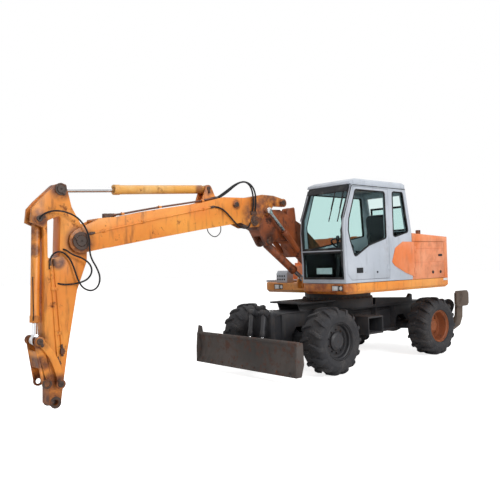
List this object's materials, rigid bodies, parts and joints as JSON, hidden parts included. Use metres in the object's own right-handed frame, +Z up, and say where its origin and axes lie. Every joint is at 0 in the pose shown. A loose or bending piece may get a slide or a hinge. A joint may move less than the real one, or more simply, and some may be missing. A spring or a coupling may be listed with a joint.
{
  "type": "wheeled excavator with two-piece boom",
  "caption": "Wheeled excavator with a two-piece boom and bare arm, cab beside the boom, dozer blade in front and folded stabilisers behind.",
  "frame": {"origin": "centre of the bounding box at ground level", "axes": "+X from the stabilisers to the arm, +Y to the cab's side, +Z up"},
  "size_m": [8.232, 2.48, 3.15],
  "materials": {
    "tyre": "worn rubber",
    "rim_black": "worn black paint",
    "rim_orange": "worn orange paint",
    "chassis_black": "black chassis paint with dirt",
    "blade_rust": "rusty dark paint",
    "stabiliser_grey": "dirty grey-brown paint",
    "boom_orange": "weathered orange paint",
    "boom_brown": "rusty dark orange paint",
    "cylinder_yellow": "faded yellow paint",
    "rod_chrome": "polished rod",
    "body_orange": "faded orange paint",
    "cab_grey": "pale grey paint",
    "cab_glazing": "tinted safety glass",
    "seat_fabric": "dark cloth",
    "console_plastic": "dark grey plastic",
    "lamp_lens": "clear lamp lenses",
    "engine_iron": "cast iron"
  },
  "bodies": {
    "chassis": {"chassis_frame": "chassis_black", "access_steps": "chassis_black", "front_axle": "chassis_black", "rear_axle": "chassis_black", "steering_cylinder": "chassis_black"},
    "knuckle_left": {"knuckle_left": "chassis_black"},
    "knuckle_right": {"knuckle_right": "chassis_black"},
    "steering_rod": {"steering_rod": "rod_chrome"},
    "wheel_front_left": {"tyre_front_left": "tyre", "rim_front_left": "rim_black"},
    "wheel_front_right": {"tyre_front_right": "tyre", "rim_front_right": "rim_black"},
    "wheel_rear_left": {"tyre_rear_left": "tyre", "rim_rear_left": "rim_orange"},
    "wheel_rear_right": {"tyre_rear_right": "tyre", "rim_rear_right": "rim_orange"},
    "blade": {"blade": "blade_rust"},
    "blade_cylinder_barrel": {"blade_cylinder_barrel": "blade_rust"},
    "blade_cylinder_rod": {"blade_cylinder_rod": "rod_chrome"},
    "stabiliser_left": {"stabiliser_left": "stabiliser_grey"},
    "stabiliser_right": {"stabiliser_right": "stabiliser_grey"},
    "upper": {"platform": "body_orange", "lamps": "lamp_lens", "counterweight": "body_orange", "side_panels": "body_orange", "engine_block": "engine_iron", "tanks": "body_orange", "work_lamp_box": "cab_grey", "cab_frame": "cab_grey", "cab_roof": "cab_grey", "cab_glass": "cab_glazing", "seat": "seat_fabric", "console": "console_plastic"},
    "cab_door": {"cab_door": "cab_grey", "door_glass": "cab_glazing"},
    "service_door": {"service_door": "body_orange"},
    "engine_hood": {"engine_hood": "body_orange"},
    "boom_lower": {"boom_lower": "boom_brown"},
    "boom_outer": {"boom_outer": "boom_orange"},
    "arm": {"arm": "boom_orange"},
    "rocker": {"rocker": "boom_orange"},
    "bucket_link": {"bucket_link": "boom_orange"},
    "lift_barrel": {"lift_barrel": "boom_brown"},
    "lift_rod": {"lift_rod": "rod_chrome"},
    "position_barrel": {"position_barrel": "boom_brown"},
    "position_rod": {"position_rod": "rod_chrome"},
    "arm_cylinder_barrel": {"arm_cylinder_barrel": "cylinder_yellow"},
    "arm_cylinder_rod": {"arm_cylinder_rod": "rod_chrome"},
    "bucket_cylinder_barrel": {"bucket_cylinder_barrel": "boom_orange"},
    "bucket_cylinder_rod": {"bucket_cylinder_rod": "rod_chrome"}
  },
  "joints": [
    {"name": "steer_left", "type": "hinge", "parent": "chassis", "child": "knuckle_left", "pos_m": [-0.355, 0.64, 0.54], "axis": [0, 0, 1], "range_deg": [-30, 30]},
    {"name": "steer_right", "type": "hinge", "parent": "chassis", "child": "knuckle_right", "pos_m": [-0.355, -0.64, 0.54], "axis": [0, 0, 1], "range_deg": [-30, 30]},
    {"name": "steering_stroke", "type": "slide", "parent": "chassis", "child": "steering_rod", "axis": [0, 1, 0], "range_m": [-0.12, 0.12]},
    {"name": "roll_front_left", "type": "hinge", "parent": "knuckle_left", "child": "wheel_front_left", "pos_m": [-0.355, 0.975, 0.54], "axis": [0, 1, 0], "continuous": true},
    {"name": "roll_front_right", "type": "hinge", "parent": "knuckle_right", "child": "wheel_front_right", "pos_m": [-0.355, -0.975, 0.54], "axis": [0, 1, 0], "continuous": true},
    {"name": "roll_rear_left", "type": "hinge", "parent": "chassis", "child": "wheel_rear_left", "pos_m": [-3.175, 0.975, 0.54], "axis": [0, 1, 0], "continuous": true},
    {"name": "roll_rear_right", "type": "hinge", "parent": "chassis", "child": "wheel_rear_right", "pos_m": [-3.175, -0.975, 0.54], "axis": [0, 1, 0], "continuous": true},
    {"name": "blade_lift", "type": "hinge", "parent": "chassis", "child": "blade", "pos_m": [-0.005, 0, 0.42], "axis": [0, -1, 0], "range_deg": [-18, 22]},
    {"name": "blade_cylinder_swing", "type": "hinge", "parent": "chassis", "child": "blade_cylinder_barrel", "pos_m": [0.32, 0, 1], "axis": [0, -1, 0], "range_deg": [-3.17, 3.76]},
    {"name": "blade_cylinder_stroke", "type": "slide", "parent": "blade_cylinder_barrel", "child": "blade_cylinder_rod", "axis": [0.1337, 0, -0.991], "range_m": [-0.1559, 0.1279]},
    {"name": "stabiliser_left_swing", "type": "hinge", "parent": "chassis", "child": "stabiliser_left", "pos_m": [-3.895, 0.93, 0.47], "axis": [-1, 0, 0], "range_deg": [0, 110]},
    {"name": "stabiliser_right_swing", "type": "hinge", "parent": "chassis", "child": "stabiliser_right", "pos_m": [-3.895, -0.93, 0.47], "axis": [1, 0, 0], "range_deg": [0, 110]},
    {"name": "slew", "type": "hinge", "parent": "chassis", "child": "upper", "pos_m": [-1.645, 0, 1.262], "axis": [0, 0, 1], "continuous": true},
    {"name": "cab_door_swing", "type": "hinge", "parent": "upper", "child": "cab_door", "pos_m": [-1.635, 1.232, 2.2], "axis": [0, 0, 1], "range_deg": [0, 120]},
    {"name": "service_door_swing", "type": "hinge", "parent": "upper", "child": "service_door", "pos_m": [-2.335, 1.232, 1.78], "axis": [0, 0, -1], "range_deg": [0, 100]},
    {"name": "engine_hood_lift", "type": "hinge", "parent": "upper", "child": "engine_hood", "pos_m": [-2.295, 0, 2.27], "axis": [0, 1, 0], "range_deg": [0, 60]},
    {"name": "boom_lift", "type": "hinge", "parent": "upper", "child": "boom_lower", "pos_m": [-1.245, 0, 1.65], "axis": [0, -1, 0], "range_deg": [-25, 45]},
    {"name": "boom_tilt", "type": "hinge", "parent": "boom_lower", "child": "boom_outer", "pos_m": [0.495, 0, 2.5], "axis": [0, -1, 0], "range_deg": [-50, 10]},
    {"name": "arm_swing", "type": "hinge", "parent": "boom_outer", "child": "arm", "pos_m": [3.481, 0, 2.164], "axis": [0, -1, 0], "range_deg": [-60, 45]},
    {"name": "rocker_swing", "type": "hinge", "parent": "arm", "child": "rocker", "pos_m": [3.796, 0, 0.362], "axis": [0, -1, 0], "range_deg": [-110, 2]},
    {"name": "bucket_link_swing", "type": "hinge", "parent": "rocker", "child": "bucket_link", "pos_m": [4.055, 0, 0.921], "axis": [0, -1, 0], "range_deg": [-4, 100]},
    {"name": "lift_swing", "type": "hinge", "parent": "boom_lower", "child": "lift_barrel", "pos_m": [0.155, 0, 2.165], "axis": [0, -1, 0], "range_deg": [-4.88, 8.38]},
    {"name": "lift_stroke", "type": "slide", "parent": "lift_barrel", "child": "lift_rod", "axis": [-0.8085, 0, -0.5884], "range_m": [-0.1846, 0.3307]},
    {"name": "position_swing", "type": "hinge", "parent": "boom_lower", "child": "position_barrel", "pos_m": [-0.495, 0, 1.96], "axis": [0, -1, 0], "range_deg": [-1.78, 0.76]},
    {"name": "position_stroke", "type": "slide", "parent": "position_barrel", "child": "position_rod", "axis": [0.7056, 0, 0.7086], "range_m": [-0.0565, 0.2747]},
    {"name": "arm_cylinder_swing", "type": "hinge", "parent": "boom_outer", "child": "arm_cylinder_barrel", "pos_m": [1.343, 0, 2.975], "axis": [0, -1, 0], "range_deg": [-6.26, 4.82]},
    {"name": "arm_cylinder_stroke", "type": "slide", "parent": "arm_cylinder_barrel", "child": "arm_cylinder_rod", "axis": [0.9981, 0, -0.0613], "range_m": [-0.4362, 0.581]},
    {"name": "bucket_cylinder_swing", "type": "hinge", "parent": "arm", "child": "bucket_cylinder_barrel", "pos_m": [4.005, 0, 2.445], "axis": [0, -1, 0], "range_deg": [-0.64, 8.17]},
    {"name": "bucket_cylinder_stroke", "type": "slide", "parent": "bucket_cylinder_barrel", "child": "bucket_cylinder_rod", "axis": [0.0328, 0, -0.9995], "range_m": [-0.0188, 0.9286]}
  ],
  "couplings": [
    {"joint": "steer_right", "follows": "steer_left", "ratio": 1},
    {"joint": "steering_stroke", "follows": "steer_left", "m_per_rad": -0.21963},
    {"joint": "blade_cylinder_swing", "follows": "blade_lift", "ratio": 0.14835},
    {"joint": "blade_cylinder_stroke", "follows": "blade_lift", "m_per_rad": -0.40068},
    {"joint": "lift_swing", "follows": "boom_lift", "ratio": 0.1751},
    {"joint": "lift_stroke", "follows": "boom_lift", "m_per_rad": 0.41846},
    {"joint": "position_swing", "follows": "boom_tilt", "ratio": 0.02561},
    {"joint": "position_stroke", "follows": "boom_tilt", "m_per_rad": -0.31244},
    {"joint": "arm_cylinder_swing", "follows": "arm_swing", "ratio": 0.096},
    {"joint": "arm_cylinder_stroke", "follows": "arm_swing", "m_per_rad": -0.55289},
    {"joint": "bucket_cylinder_swing", "follows": "rocker_swing", "ratio": -0.0697},
    {"joint": "bucket_cylinder_stroke", "follows": "rocker_swing", "m_per_rad": -0.48262}
  ]
}
